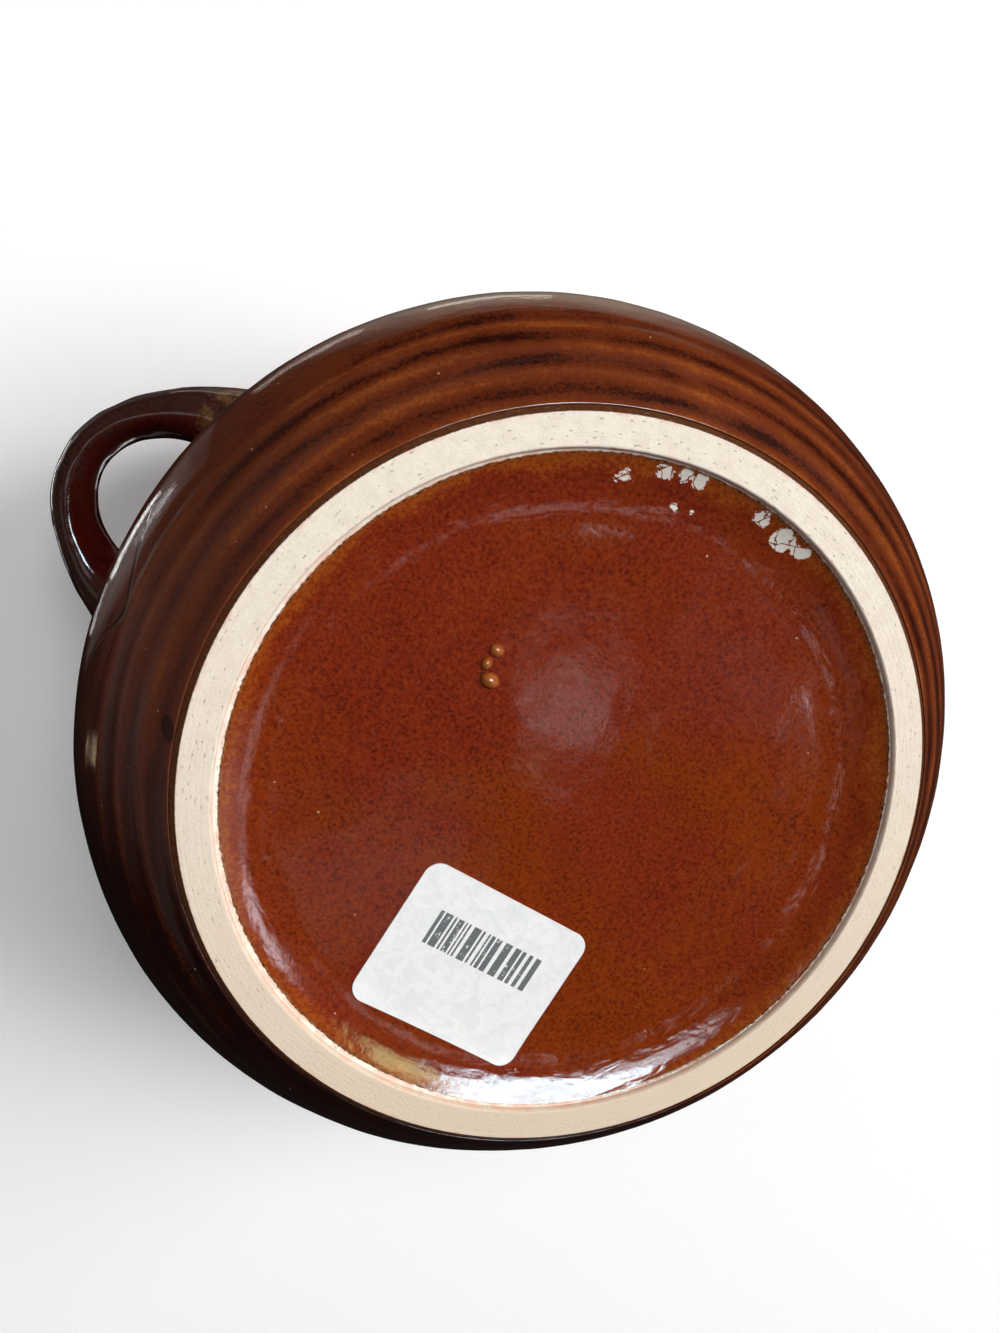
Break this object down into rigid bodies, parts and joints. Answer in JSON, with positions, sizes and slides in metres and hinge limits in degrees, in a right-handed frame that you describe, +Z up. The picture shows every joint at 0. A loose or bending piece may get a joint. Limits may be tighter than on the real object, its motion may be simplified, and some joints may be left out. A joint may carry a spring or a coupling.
{
  "type": "french onion soup crock",
  "caption": "Round-bellied brown glazed stoneware soup crock with a rolled rim, low throwing ribs, a bare foot ring and a looped ear handle, for baking and serving onion soup.",
  "frame": {"origin": "centre of the foot ring, in the plane that the crock stands on", "axes": "+Z up along the crock's axis from foot to rim, +X towards the ear handle, +Y across it by the right hand"},
  "size_m": [0.1424, 0.1274, 0.07],
  "materials": {
    "bare_clay": "matte",
    "brown_glaze": "gloss",
    "inside_glaze": "gloss",
    "base_glaze": "gloss",
    "dark_glaze": "gloss",
    "honey_glaze": "gloss",
    "label_paper": "matte"
  },
  "bodies": {
    "root": {"clay_body": "bare_clay", "ear_handle": "bare_clay", "outer_glaze": "brown_glaze", "liner_glaze": "inside_glaze", "base_glaze": "base_glaze", "handle_glaze": "dark_glaze", "glaze_beads": "honey_glaze", "paper_label": "label_paper"}
  },
  "joints": []
}
